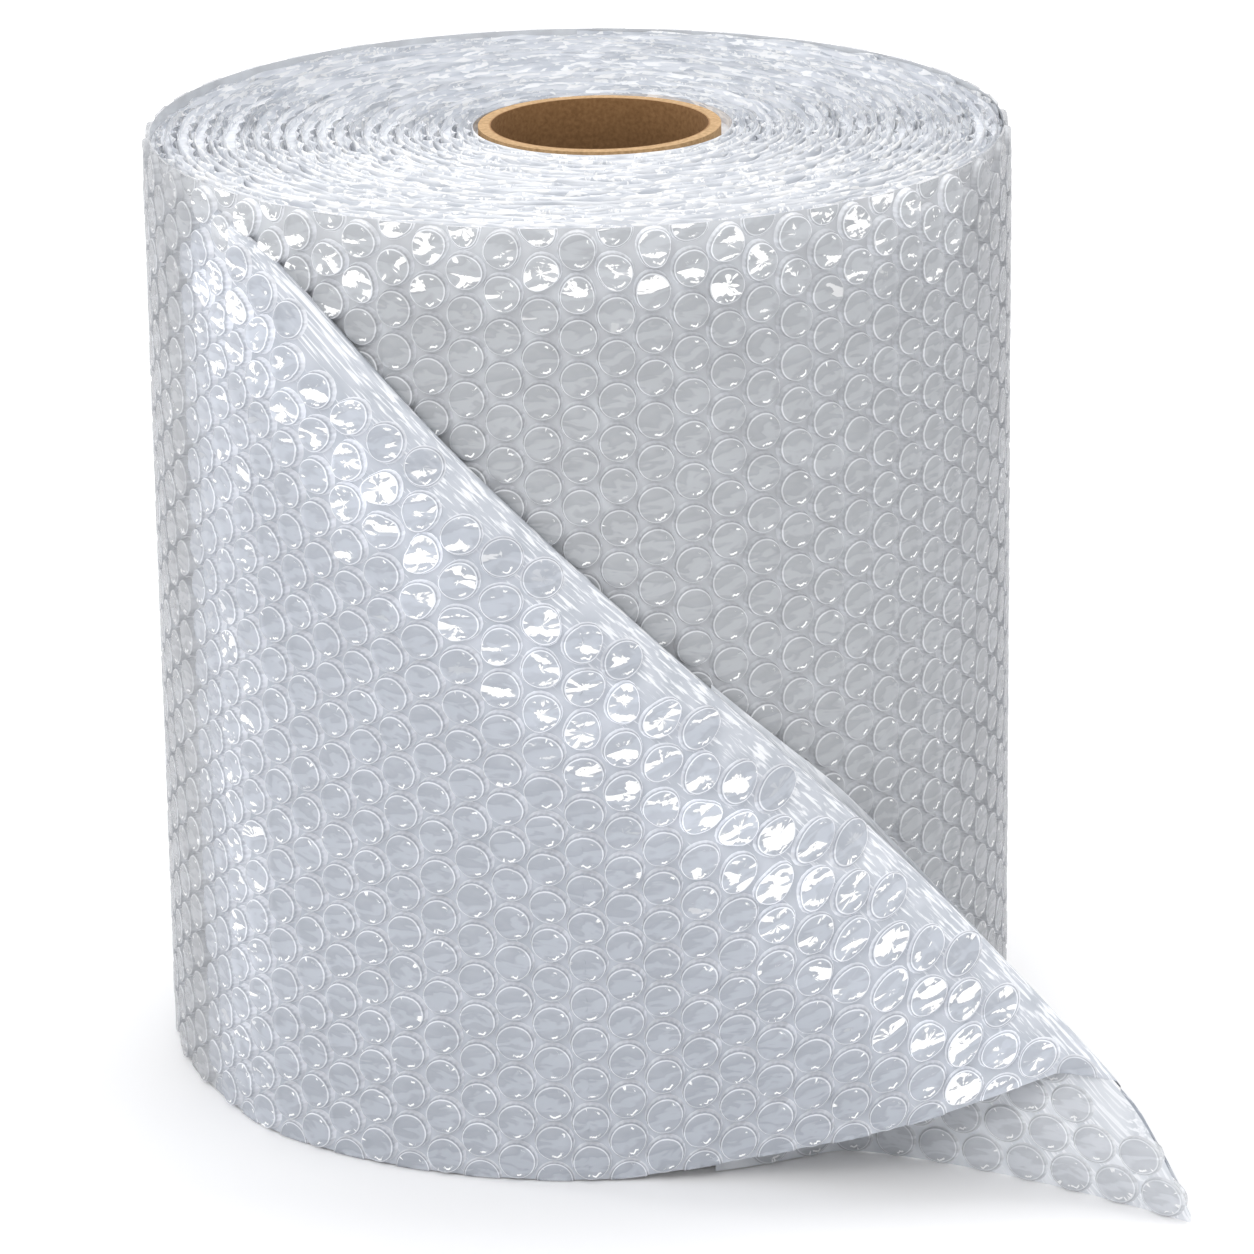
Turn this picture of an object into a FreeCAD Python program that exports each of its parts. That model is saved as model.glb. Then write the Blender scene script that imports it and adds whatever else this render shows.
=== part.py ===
"""Roll of air-cushion film on a cardboard core, standing on end.

Two pieces: the cardboard core tube, and the film, whose turns, loose outer turn and
folded-back free end are one continuous web and so one solid. Millimetres, +Z up. The
origin is on the core's axis, in the plane that the roll stands on. The free end comes
round the left of the roll to the front, and its upper corner is folded down behind it
in a soft cone whose tip rests on the floor at the front right.
"""
import FreeCAD
import Part
import math
import os

# Driving dimensions of the roll; the loose outer turn lies off the core's axis
ROLL_WIDTH = 335.0
ROLL_RADIUS = 153.0
LOOSE_TURN_SHIFT_X = -8.0
LOOSE_TURN_SHIFT_Y = 2.3

# Driving dimensions of the cardboard core
CORE_BORE = 76.2
CORE_WALL = 4.4
CORE_FIT_GAP = 0.05

# Driving dimensions of the film: bubbles in upright columns, staggered by half a pitch
FILM_THICKNESS = 4.0
BACKING_WALL = 2.0
BUBBLE_COLUMN_PITCH = 12.8

# The spiral on each end shows every third turn. The places are shares of its pitch,
# and the outermost turn leaves a last share of one to the rim.
END_TURN_PITCH = 12.0
END_GROOVE_DEPTH = 3.0
END_FACETS = 24
END_RIDGE_PLACE = 0.25
END_GROOVE_PLACE = 0.75
END_LAST_TURN = 0.6

# Driving dimensions of the folded free end. A run is a length along the web from the
# middle of the front, and an out is a distance from the middle of the loose turn.
TIP_RUN = 201.0
TIP_STEEPNESS = 2.05
TIP_ROUNDING = 6.0
TIP_HEIGHT = 4.0
FOLD_RISE = 20.5
FOLD_TOP_ROUNDING = 34.0
FOLD_BULGE = 14.0
FOLD_BULGE_START = 0.67
FOLD_START_OVERLAP = 51.0
FLAP_RAISE = 3.0
FLAP_FLARE = 0.0009
FRONT_EDGE_LIFT = 44.0
FRONT_EDGE_CURVE = 1.6
CURL_LENGTH = 43.0
REAR_LEAVES_ROLL = 85.0
REAR_SLOPE = 0.35
REAR_CURVE = 0.0022
REAR_BLEND = 8.0
ROOT_DEPTH = 6.0
CONE_MIN_WIDTH = 1.0
CONE_STEPS = 8

# Sizes that follow from those above
CORE_RADIUS = CORE_BORE / 2 + CORE_WALL
VALLEY_RADIUS = ROLL_RADIUS - FILM_THICKNESS
COLUMN_COUNT = 2 * round(math.pi * ROLL_RADIUS / BUBBLE_COLUMN_PITCH)
COLUMN_ANGLE = 2 * math.pi / COLUMN_COUNT
COLUMN_RUN = ROLL_RADIUS * COLUMN_ANGLE
HALF_ROWS = round(ROLL_WIDTH / (COLUMN_RUN / math.sqrt(3)))
HALF_ROW = ROLL_WIDTH / HALF_ROWS
FOLD_HEIGHT_AT_FRONT = TIP_RUN + FOLD_RISE
FOLD_START_RUN = FOLD_HEIGHT_AT_FRONT - ROLL_WIDTH - FOLD_START_OVERLAP
FRONT_EDGE_RUN = TIP_RUN - CURL_LENGTH
CONE_START_RUN = REAR_LEAVES_ROLL / 2


def soft_max(a, b, rounding):
    return (a + b + math.hypot(a - b, rounding)) / 2


def soft_min(a, b, rounding):
    return -soft_max(-a, -b, rounding)


def ease(x):
    """Smooth step from 0 to 1."""
    x = min(max(x, 0.0), 1.0)
    return x * x * (3 - 2 * x)


class Skin:
    """Closed surface built up from triangles, which solid() turns into a solid."""

    def __init__(self):
        self.points = []
        self.facets = []

    def add(self, point):
        self.points.append(point)
        return len(self.points) - 1

    def line(self, points):
        return [self.add(point) for point in points]

    def triangle(self, a, b, c):
        if len({a, b, c}) == 3:
            self.facets.append((a, b, c))

    def quad(self, a, b, c, d):
        """Four corners in order round the quad, split from a to c."""
        self.triangle(a, b, c)
        self.triangle(a, c, d)

    def band(self, near, far):
        """Quads between two lines with as many points each."""
        for i in range(len(near) - 1):
            self.quad(near[i], near[i + 1], far[i + 1], far[i])

    def studded_band(self, near, far, first_is_valley):
        """Band between two studded columns, split along its valleys; the longer one ends in a fan."""
        shared = min(len(near), len(far))
        for i in range(shared - 1):
            if (i % 2 == 0) == first_is_valley:
                self.quad(near[i], near[i + 1], far[i + 1], far[i])
            else:
                self.quad(near[i + 1], far[i + 1], far[i], near[i])
        for i in range(shared - 1, len(near) - 1):
            self.triangle(near[i], near[i + 1], far[-1])
        for i in range(shared - 1, len(far) - 1):
            self.triangle(near[-1], far[i + 1], far[i])

    def ring_bridge(self, inner, outer):
        """Triangles between two closed rings that start at the same angle."""
        i = 0
        j = 0
        while i < len(inner) or j < len(outer):
            inner_next = (i + 1) / len(inner)
            outer_next = (j + 1) / len(outer)
            a = inner[i % len(inner)]
            b = outer[j % len(outer)]
            if inner_next < outer_next or j == len(outer):
                self.triangle(a, inner[(i + 1) % len(inner)], b)
                i += 1
            else:
                self.triangle(a, outer[(j + 1) % len(outer)], b)
                j += 1

    def turn_over(self, first):
        """Swap the facing of every facet from the one numbered first."""
        self.facets[first:] = [(a, c, b) for a, b, c in self.facets[first:]]

    def cap(self, loop):
        """Fan from the middle of a flat closed loop."""
        middle = [sum(self.points[i][axis] for i in loop) / len(loop) for axis in range(3)]
        centre = self.add(tuple(middle))
        for i in range(len(loop)):
            self.triangle(centre, loop[i], loop[(i + 1) % len(loop)])

    def solid(self):
        """The solid inside the surface, whichever way the facets face."""
        shell = Part.Shape()
        shell.makeShapeFromMesh((self.points, self.facets), 1e-4)
        body = Part.Solid(shell)
        if body.Volume < 0:
            body.reverse()
        return body


def web_point(run, out, height):
    """Point on or off the web: run along it from the middle of the front, out from the roll's centre.

    Left of the middle the web goes round the roll, and right of it straight on.
    """
    angle = min(run, 0.0) / ROLL_RADIUS
    x = LOOSE_TURN_SHIFT_X + out * math.sin(angle) + max(run, 0.0)
    y = LOOSE_TURN_SHIFT_Y - out * math.cos(angle)
    return (x, y, height)


def roll_reach(run):
    """How far out the roll's surface is behind a point of the web."""
    straight = min(max(run, 0.0), ROLL_RADIUS)
    return math.sqrt(ROLL_RADIUS ** 2 - straight ** 2)


def rear_out(run):
    """Folded-under layer: on the roll, then leaving it towards the tip."""
    past = run - REAR_LEAVES_ROLL
    leaving = roll_reach(REAR_LEAVES_ROLL) + REAR_SLOPE * past + REAR_CURVE * past * past
    return soft_max(roll_reach(run), leaving, REAR_BLEND) if run > 0 else ROLL_RADIUS


def front_out(run):
    """Front layer's valleys at its foot: round the roll, then flaring away from it."""
    flare = FLAP_FLARE * max(run, 0.0) ** 2
    return soft_max(VALLEY_RADIUS + FLAP_RAISE + flare, rear_out(run) - FILM_THICKNESS / 2, FLAP_RAISE)


def fold_height(run):
    """Height of the fold's ridge: level at the top left, then down at 45 degrees to the tip."""
    slope = soft_min(FOLD_HEIGHT_AT_FRONT - run, ROLL_WIDTH, FOLD_TOP_ROUNDING)
    return soft_min(slope, TIP_STEEPNESS * (TIP_RUN - run) + TIP_HEIGHT, TIP_ROUNDING)


def edge_lift(run):
    """How far the front layer's bottom edge is off the floor."""
    share = min(max(run, 0.0), FRONT_EDGE_RUN) / FRONT_EDGE_RUN
    return FRONT_EDGE_LIFT * share ** FRONT_EDGE_CURVE


def fold_bulge(run):
    """Extra reach of the fold's ridge, largest at the middle of the front."""
    return FOLD_BULGE * max(math.cos(run / REAR_LEAVES_ROLL), 0.0)


def bulge_share(height_share):
    """How much of the bulge there is at a share of the height up to the fold."""
    return ease((height_share - FOLD_BULGE_START) / (1 - FOLD_BULGE_START))


def is_free(run):
    """Whether the folded-under layer has left the roll there."""
    return run > REAR_LEAVES_ROLL - COLUMN_RUN / 2


def core_tube():
    outer = Part.makeCylinder(CORE_RADIUS, ROLL_WIDTH)
    return outer.cut(Part.makeCylinder(CORE_BORE / 2, ROLL_WIDTH))


def studded_column(skin, column):
    """One column of the roll's side: bubble tops and valleys in turn, from the floor up."""
    angle = column * COLUMN_ANGLE
    line = []
    for row in range(HALF_ROWS + 1):
        radius = ROLL_RADIUS if (column + row) % 2 else VALLEY_RADIUS
        x = LOOSE_TURN_SHIFT_X + radius * math.sin(angle)
        y = LOOSE_TURN_SHIFT_Y - radius * math.cos(angle)
        line.append(skin.add((x, y, row * HALF_ROW)))
    return line


def end_spiral(skin, bore_ring, rim_ring, top):
    """End of the roll: one spiral ridge and groove from the core out to the rim."""
    end = ROLL_WIDTH if top else 0.0
    inward = -END_GROOVE_DEPTH if top else END_GROOVE_DEPTH
    span = VALLEY_RADIUS - CORE_RADIUS
    turns = int(span / END_TURN_PITCH)
    pitch = span / (turns + END_LAST_TURN)
    first = len(skin.facets)

    def spiral_point(step, turns_out, depth):
        angle = 2 * math.pi * step / END_FACETS
        radius = CORE_RADIUS + pitch * (step / END_FACETS + turns_out)
        share = (radius - CORE_RADIUS) / span
        x = share * LOOSE_TURN_SHIFT_X + radius * math.sin(angle)
        y = share * LOOSE_TURN_SHIFT_Y - radius * math.cos(angle)
        return skin.add((x, y, end + depth))

    steps = turns * END_FACETS
    ridge = [spiral_point(step, END_RIDGE_PLACE, 0.0) for step in range(steps + 1)]
    groove = [spiral_point(step, END_GROOVE_PLACE, inward) for step in range(steps - END_FACETS + 1)]
    skin.band(ridge[:len(groove)], groove)
    skin.band(groove, ridge[END_FACETS:])
    bore_line = bore_ring + bore_ring[:1]
    skin.band(bore_line, ridge[:END_FACETS + 1])
    skin.quad(bore_line[0], ridge[0], groove[0], ridge[END_FACETS])
    outer_turn = ridge[-END_FACETS - 1:]
    skin.quad(outer_turn[-1], groove[-1], outer_turn[0], outer_turn[1])
    skin.ring_bridge(outer_turn[-1:] + outer_turn[1:-1], rim_ring)
    if top:
        skin.turn_over(first)


def wound_roll():
    """All turns of the film, with bubbles on the side and a spiral on each end."""
    skin = Skin()
    columns = [studded_column(skin, column) for column in range(COLUMN_COUNT)]
    for column in range(COLUMN_COUNT):
        following = columns[(column + 1) % COLUMN_COUNT]
        skin.studded_band(following, columns[column], column % 2 == 1)
    bore_radius = (CORE_RADIUS + CORE_FIT_GAP) / math.cos(math.pi / END_FACETS)
    angles = [2 * math.pi * step / END_FACETS for step in range(END_FACETS)]
    bore = [(bore_radius * math.sin(a), -bore_radius * math.cos(a)) for a in angles]
    foot = skin.line([(x, y, 0.0) for x, y in bore])
    head = skin.line([(x, y, ROLL_WIDTH) for x, y in bore])
    skin.band(head + head[:1], foot + foot[:1])
    end_spiral(skin, foot, [column[0] for column in columns], False)
    end_spiral(skin, head, [column[-1] for column in columns], True)
    return skin.solid()


def fold_section(run, column, sunk):
    """Upright section of the folded free end: its studded front, then over the ridge and down behind."""
    ridge = fold_height(run)
    lift = min(edge_lift(run), ridge / 2)
    foot_out = front_out(run) - sunk
    top_out = foot_out + fold_bulge(run)
    back = rear_out(run) - (BACKING_WALL if is_free(run) else ROOT_DEPTH)
    curl = max((top_out - back) / 2, BACKING_WALL)
    shoulder = max(ridge - curl, ridge / 2)
    front = []
    for row in range(int((shoulder - lift) / HALF_ROW) + 1):
        height = lift + row * HALF_ROW
        stud = FILM_THICKNESS if (row + column) % 2 else 0.0
        bulge = fold_bulge(run) * bulge_share(height / shoulder)
        front.append(web_point(run, foot_out + bulge + stud, height))
    over = []
    for degrees in (45, 90, 135, 180):
        angle = math.radians(degrees)
        out = top_out - curl + curl * math.cos(angle)
        over.append(web_point(run, out, shoulder + (ridge - shoulder) * math.sin(angle)))
    over.append(web_point(run, back, 0.0 if is_free(run) else min(HALF_ROW / 2, shoulder / 2)))
    return front, over


def folded_end_envelope():
    """The folded free end as if it were solid between its two layers."""
    skin = Skin()
    first = round(FOLD_START_RUN / COLUMN_RUN)
    last = math.ceil(TIP_RUN / COLUMN_RUN) - 1
    sections = [fold_section(first * COLUMN_RUN, first, 2 * FILM_THICKNESS)]
    for column in range(first + 1, last + 1):
        sections.append(fold_section(column * COLUMN_RUN, column, 0.0))
    sections.append(fold_section(TIP_RUN, last + 1, 0.0))
    lines = [(skin.line(front), skin.line(over)) for front, over in sections]
    for column, (near, far) in enumerate(zip(lines, lines[1:]), first):
        skin.studded_band(near[0], far[0], column % 2 == 0)
        skin.band(near[0][-1:] + near[1], far[0][-1:] + far[1])
        skin.band(near[1][-1:] + near[0][:1], far[1][-1:] + far[0][:1])
    skin.cap(lines[-1][0] + lines[-1][1])
    root = len(skin.facets)
    skin.cap(lines[0][0] + lines[0][1])
    skin.turn_over(root)
    return skin.solid()


def cone_section(run):
    """Upright section of the space between the two layers, open at the floor."""
    outer = front_out(run) + fold_bulge(run) - BACKING_WALL
    inner = rear_out(run) + BACKING_WALL
    middle = (outer + inner) / 2
    half = max(outer - inner, CONE_MIN_WIDTH) / 2
    foot = max(front_out(run) - BACKING_WALL, middle + CONE_MIN_WIDTH / 2)
    shoulder = fold_height(run) - half - BACKING_WALL
    loop = [web_point(run, foot, -FILM_THICKNESS), web_point(run, foot, shoulder / 2)]
    for degrees in (0, 60, 120, 180):
        angle = math.radians(degrees)
        loop.append(web_point(run, middle + half * math.cos(angle), shoulder + half * math.sin(angle)))
    loop.append(web_point(run, middle - half, -FILM_THICKNESS))
    return loop


def cone_space():
    """The soft cone between the front layer and the folded-under layer."""
    skin = Skin()
    step = (FRONT_EDGE_RUN - CONE_START_RUN) / CONE_STEPS
    runs = [CONE_START_RUN + step * index for index in range(CONE_STEPS + 1)]
    loops = [skin.line(cone_section(run)) for run in runs]
    for near, far in zip(loops, loops[1:]):
        skin.band(near + near[:1], far + far[:1])
    skin.cap(loops[-1])
    root = len(skin.facets)
    skin.cap(loops[0])
    skin.turn_over(root)
    return skin.solid()


def bubble_wrap():
    """The whole web: wound turns and folded free end as one solid."""
    folded_end = folded_end_envelope().cut(cone_space())
    return wound_roll().fuse(folded_end).Solids[0]


def main():
    os.makedirs("parts", exist_ok=True)
    core_tube().exportStep("parts/core_tube.step")
    bubble_wrap().exportStep("parts/bubble_wrap.step")


if __name__ == "__main__":
    main()
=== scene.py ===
"""Looks of the air-cushion film roll: film with its bubbles, wound ends, folded free end and card core.

Shapes are worked out in millimetres, as in the part, and turned into metres where a mesh is made.
"""

import math

import bpy
import numpy as np
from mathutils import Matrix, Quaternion, Vector


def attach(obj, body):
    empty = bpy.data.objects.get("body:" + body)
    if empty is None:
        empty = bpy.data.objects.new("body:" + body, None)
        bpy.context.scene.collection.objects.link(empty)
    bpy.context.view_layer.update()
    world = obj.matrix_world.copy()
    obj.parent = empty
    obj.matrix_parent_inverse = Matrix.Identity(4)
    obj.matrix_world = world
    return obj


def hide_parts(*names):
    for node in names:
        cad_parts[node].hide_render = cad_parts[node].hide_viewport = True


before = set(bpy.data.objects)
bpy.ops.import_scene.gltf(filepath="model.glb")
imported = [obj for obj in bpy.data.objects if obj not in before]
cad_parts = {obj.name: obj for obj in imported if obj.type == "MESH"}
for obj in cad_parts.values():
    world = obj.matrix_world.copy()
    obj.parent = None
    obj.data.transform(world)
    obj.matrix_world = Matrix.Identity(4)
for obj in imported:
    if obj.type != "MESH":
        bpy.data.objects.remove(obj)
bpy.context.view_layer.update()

MM = 0.001
SEED = 7

# The roll and its web, as the part has them
ROLL_WIDTH = 335.0
ROLL_RADIUS = 153.0
SHIFT_X = -8.0
SHIFT_Y = 2.3
CORE_RADIUS = 42.5
CORE_BORE_RADIUS = 38.1
FILM_THICKNESS = 4.0
VALLEY_RADIUS = ROLL_RADIUS - FILM_THICKNESS
COLUMN_COUNT = 76
COLUMN_RUN = 2 * math.pi * ROLL_RADIUS / COLUMN_COUNT
HALF_ROWS = 46
HALF_ROW = ROLL_WIDTH / HALF_ROWS

# The folded free end, as the part has it
TIP_RUN = 201.0
TIP_STEEPNESS = 2.05
TIP_ROUNDING = 6.0
TIP_HEIGHT = 4.0
FOLD_HEIGHT_AT_FRONT = 221.5
FOLD_TOP_ROUNDING = 34.0
FOLD_BULGE = 14.0
FLAP_RAISE = 3.0
FLAP_FLARE = 0.0009
EDGE_LIFT = 44.0
EDGE_CURVE = 1.6
EDGE_RUN = 158.0
REAR_LEAVES_ROLL = 85.0
REAR_SLOPE = 0.35
REAR_CURVE = 0.0022
REAR_BLEND = 8.0

# What the free end has here besides: distances below the ridge over which it bulges and rolls over, the runs
# over which it lifts from the roll, and how far its root is sunk into the turn below
BULGE_FROM = 110.0
BULGE_FULL = 40.0
ROLL_OVER_FROM = 45.0
ROLL_OVER_SHARE = 0.8
TIGHTEST_CURL = 2.0
FLAP_STARTS = -176.0
FLAP_FULL = -120.0
ROOT_SUNK = 1.0

# Where the bubbles are: the strip below the ridge that has none, and the room they keep from the fold
CREST_PLAIN = 8.0
REAR_CLEAR = 9.0
ROLL_HIDDEN_BEFORE = 80.0
ROLL_HIDDEN_BELOW = 10.0

# Where they shine or are dull: crumpled ones with painted highlights below the ridge, down the left and under the
# top edge, and a haze on the sides, round which the web is seen at a slant and the painted rings fade
GLEAM_BELOW, GLEAM_WIDTH = 30.0, 16.0
LEFT_GLEAM, LEFT_GLEAM_RUN, LEFT_GLEAM_WIDTH = 0.4, -135.0, 14.0
TOP_GLEAM, TOP_GLEAM_FROM, TOP_GLEAM_RISE = 0.7, 298.0, 25.0
HAZE_FROM = 145.0
HAZE_RUN = 40.0
HAZE_MIDDLE = 240.0
REAR_DULL = -0.5

# One bubble: radius and height of each ring from the weld to the top, and how finely it is cut
BUBBLE_RADIUS = 6.7
WALL_HEIGHT = 1.6
BUBBLE_RINGS = ((7.0, 0.05), (6.75, 0.12), (6.6, 1.6), (6.4, 2.8), (6.1, 3.3), (5.5, 3.5), (3.6, 3.5), (1.7, 3.45))
BUBBLE_SEGMENTS = 20
SHEET_STEP = 3.2

# How far its top may sink in millimetres, by long creases, puckers at the rim, a lean and a dent, and how far
# a crumpled one may be pulled oval or three-cornered, drawn in and moved aside
CREASE, PUCKER, LEAN, DENT = (0.1, 0.5), (0.05, 0.3), (0.0, 0.3), (0.0, 0.6)
PULL_OVAL, PULL_TRIPOD, DRAWN_IN = 0.11, 0.06, 0.05
MOVED_ASIDE = 0.8
SHINE_SPREAD = (0.25, 1.2)

# The wound ends
TURN_PITCH = 5.0
TURN_DEPTH = 5.0
END_STEPS = 300
RIM_CLEAR = 0.4
FLOOR_RISE = 0.6


def linear(hex_colour):
    """sRGB hex as the linear colour that a shader wants."""
    channels = [int(hex_colour[i:i + 2], 16) / 255 for i in (1, 3, 5)]
    return tuple(c / 12.92 if c <= 0.04045 else ((c + 0.055) / 1.055) ** 2.4 for c in channels) + (1.0,)


def soft_max(a, b, rounding):
    return (a + b + np.hypot(a - b, rounding)) / 2


def soft_min(a, b, rounding):
    return -soft_max(-a, -b, rounding)


def ease(x):
    x = np.clip(x, 0.0, 1.0)
    return x * x * (3 - 2 * x)


# Form of the web

def web_point(run, out, height):
    """Points run along the web from the middle of the front and out from the loose turn's middle."""
    angle = np.minimum(run, 0.0) / ROLL_RADIUS
    x = SHIFT_X + out * np.sin(angle) + np.maximum(run, 0.0)
    y = SHIFT_Y - out * np.cos(angle)
    return np.stack([x, y, height + 0.0 * x], axis=-1)


def roll_reach(run):
    straight = np.clip(run, 0.0, ROLL_RADIUS)
    return np.sqrt(ROLL_RADIUS ** 2 - straight ** 2)


def rear_out(run):
    past = run - REAR_LEAVES_ROLL
    leaving = roll_reach(REAR_LEAVES_ROLL) + REAR_SLOPE * past + REAR_CURVE * past * past
    return np.where(run > 0, soft_max(roll_reach(run), leaving, REAR_BLEND), ROLL_RADIUS)


def front_out(run):
    flare = FLAP_FLARE * np.maximum(run, 0.0) ** 2
    out = soft_max(VALLEY_RADIUS + FLAP_RAISE + flare, rear_out(run) - FILM_THICKNESS / 2, FLAP_RAISE)
    start = ease((run - FLAP_STARTS) / (FLAP_FULL - FLAP_STARTS))
    root = VALLEY_RADIUS - ROOT_SUNK
    return root + (out - root) * start


def fold_height(run):
    slope = soft_min(FOLD_HEIGHT_AT_FRONT - run, ROLL_WIDTH, FOLD_TOP_ROUNDING)
    return soft_min(slope, TIP_STEEPNESS * (TIP_RUN - run) + TIP_HEIGHT, TIP_ROUNDING)


def edge_lift(run):
    return EDGE_LIFT * (np.clip(run, 0.0, EDGE_RUN) / EDGE_RUN) ** EDGE_CURVE


def fold_bulge(run):
    return FOLD_BULGE * np.maximum(np.cos(run / REAR_LEAVES_ROLL), 0.0)


def fold_angle(run):
    return np.arctan(fold_height(run - 0.5) - fold_height(run + 0.5))


def fold_gap(run):
    """Room between the front layer's bulge and the folded-under layer."""
    return np.maximum(front_out(run) + fold_bulge(run) - rear_out(run), 0.0)


def curl_radius(run):
    return np.maximum((1 - ROLL_OVER_SHARE) * fold_gap(run) / 2, TIGHTEST_CURL)


def roll_surface(run, height):
    """The wound roll's side, where run goes right round it."""
    angle = run / ROLL_RADIUS
    x = SHIFT_X + VALLEY_RADIUS * np.sin(angle)
    y = SHIFT_Y - VALLEY_RADIUS * np.cos(angle)
    return np.stack([x, y, height + 0.0 * x], axis=-1)


def below_fold(run, height):
    """Distance from a point of the front layer up to the fold's ridge."""
    return (fold_height(run) - height) * np.cos(fold_angle(run))


def front_sheet(run, height):
    """The free end's front layer, bulged below the fold and rolled over softly towards it."""
    below = below_fold(run, height)
    bulge = fold_bulge(run) * ease((BULGE_FROM - below) / (BULGE_FROM - BULGE_FULL))
    rolled = np.clip((ROLL_OVER_FROM - below) / ROLL_OVER_FROM, 0.0, 1.0) ** 2
    return web_point(run, front_out(run) + bulge - ROLL_OVER_SHARE * fold_gap(run) * rolled, height)


def past_curl_start(run, height):
    """How far a point of the web is past the line where it leaves the front layer, and the fold's angle."""
    tilt = fold_angle(run)
    radius = curl_radius(run)
    fold_line = fold_height(run) + (math.pi / 2 - 1) * radius / np.cos(tilt)
    return (height + edge_lift(run) - fold_line) * np.cos(tilt) + math.pi / 2 * radius, tilt, radius


def folded_surface(run, height):
    """The free end: up its front, over the fold's ridge and down behind."""
    run, height = np.broadcast_arrays(np.asarray(run, float), np.asarray(height, float))
    past, tilt, radius = past_curl_start(run, height)
    past = np.maximum(past, 0.0)
    foot_run = run - past * np.sin(tilt)
    foot_height = height + edge_lift(run) - past * np.cos(tilt)
    foot = front_sheet(foot_run, foot_height)
    along = front_sheet(foot_run + 0.5, foot_height) - front_sheet(foot_run - 0.5, foot_height)
    along /= np.linalg.norm(along, axis=-1, keepdims=True)
    upward = np.broadcast_to(np.array([0.0, 0.0, 1.0]), along.shape)
    outward = np.cross(along, upward)
    over = along * np.sin(tilt)[..., None] + upward * np.cos(tilt)[..., None]
    turn = np.minimum(past / radius, math.pi)
    straight = np.maximum(past - math.pi * radius, 0.0)
    return (foot + over * (radius * np.sin(turn) - straight)[..., None]
            - outward * (radius * (1 - np.cos(turn)))[..., None])


def rear_surface(run, height):
    return web_point(run, rear_out(run), height)


def off_surface(surface, run, height, out):
    """Points a little off a surface, along its outward normal."""
    along = surface(run + 0.4, height) - surface(run - 0.4, height)
    up = surface(run, height + 0.4) - surface(run, height - 0.4)
    normal = np.cross(along, up)
    normal /= np.maximum(np.linalg.norm(normal, axis=-1, keepdims=True), 1e-9)
    return surface(run, height) + normal * out[..., None]


# Meshes

def film_piece(name, points, faces, material, bubble=None, gleam=None, crest=None):
    """A piece of the film. Its marks say where on its bubble, ribbon or ridge each point is, for the material."""
    mesh = bpy.data.meshes.new(name)
    mesh.from_pydata((np.asarray(points).reshape(-1, 3) * MM).tolist(), [], faces)
    mesh.polygons.foreach_set("use_smooth", [True] * len(mesh.polygons))
    mesh.materials.append(material)
    for title, kind, field, values in (("bubble", "FLOAT_VECTOR", "vector", bubble),
                                       ("crest", "FLOAT_VECTOR", "vector", crest),
                                       ("gleam", "FLOAT", "value", gleam)):
        if values is not None:
            marks = mesh.attributes.new(title, kind, "POINT")
            marks.data.foreach_set(field, np.asarray(values, np.float32).ravel())
    piece = bpy.data.objects.new(name, mesh)
    bpy.context.scene.collection.objects.link(piece)
    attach(piece, "root")
    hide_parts("bubble_wrap")
    return piece


def grid_faces(rows, columns):
    """Quads of a grid of points with that many rows and columns."""
    corner = (np.arange(rows - 1)[:, None] * columns + np.arange(columns - 1)[None, :]).ravel()
    return np.stack([corner, corner + 1, corner + columns + 1, corner + columns], axis=1).tolist()


def sheet_piece(name, surface, runs, low, high, material, crest=None):
    """A sheet between two heights of the web, which may change along it."""
    share = np.linspace(0.0, 1.0, int(ROLL_WIDTH / SHEET_STEP))[:, None]
    height = low(runs) + (high(runs) - low(runs)) * share
    points = surface(np.broadcast_to(runs, height.shape), height)
    marks = None if crest is None else crest(np.broadcast_to(runs, height.shape), height)
    return film_piece(name, points, grid_faces(*height.shape), material, crest=marks)


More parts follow.
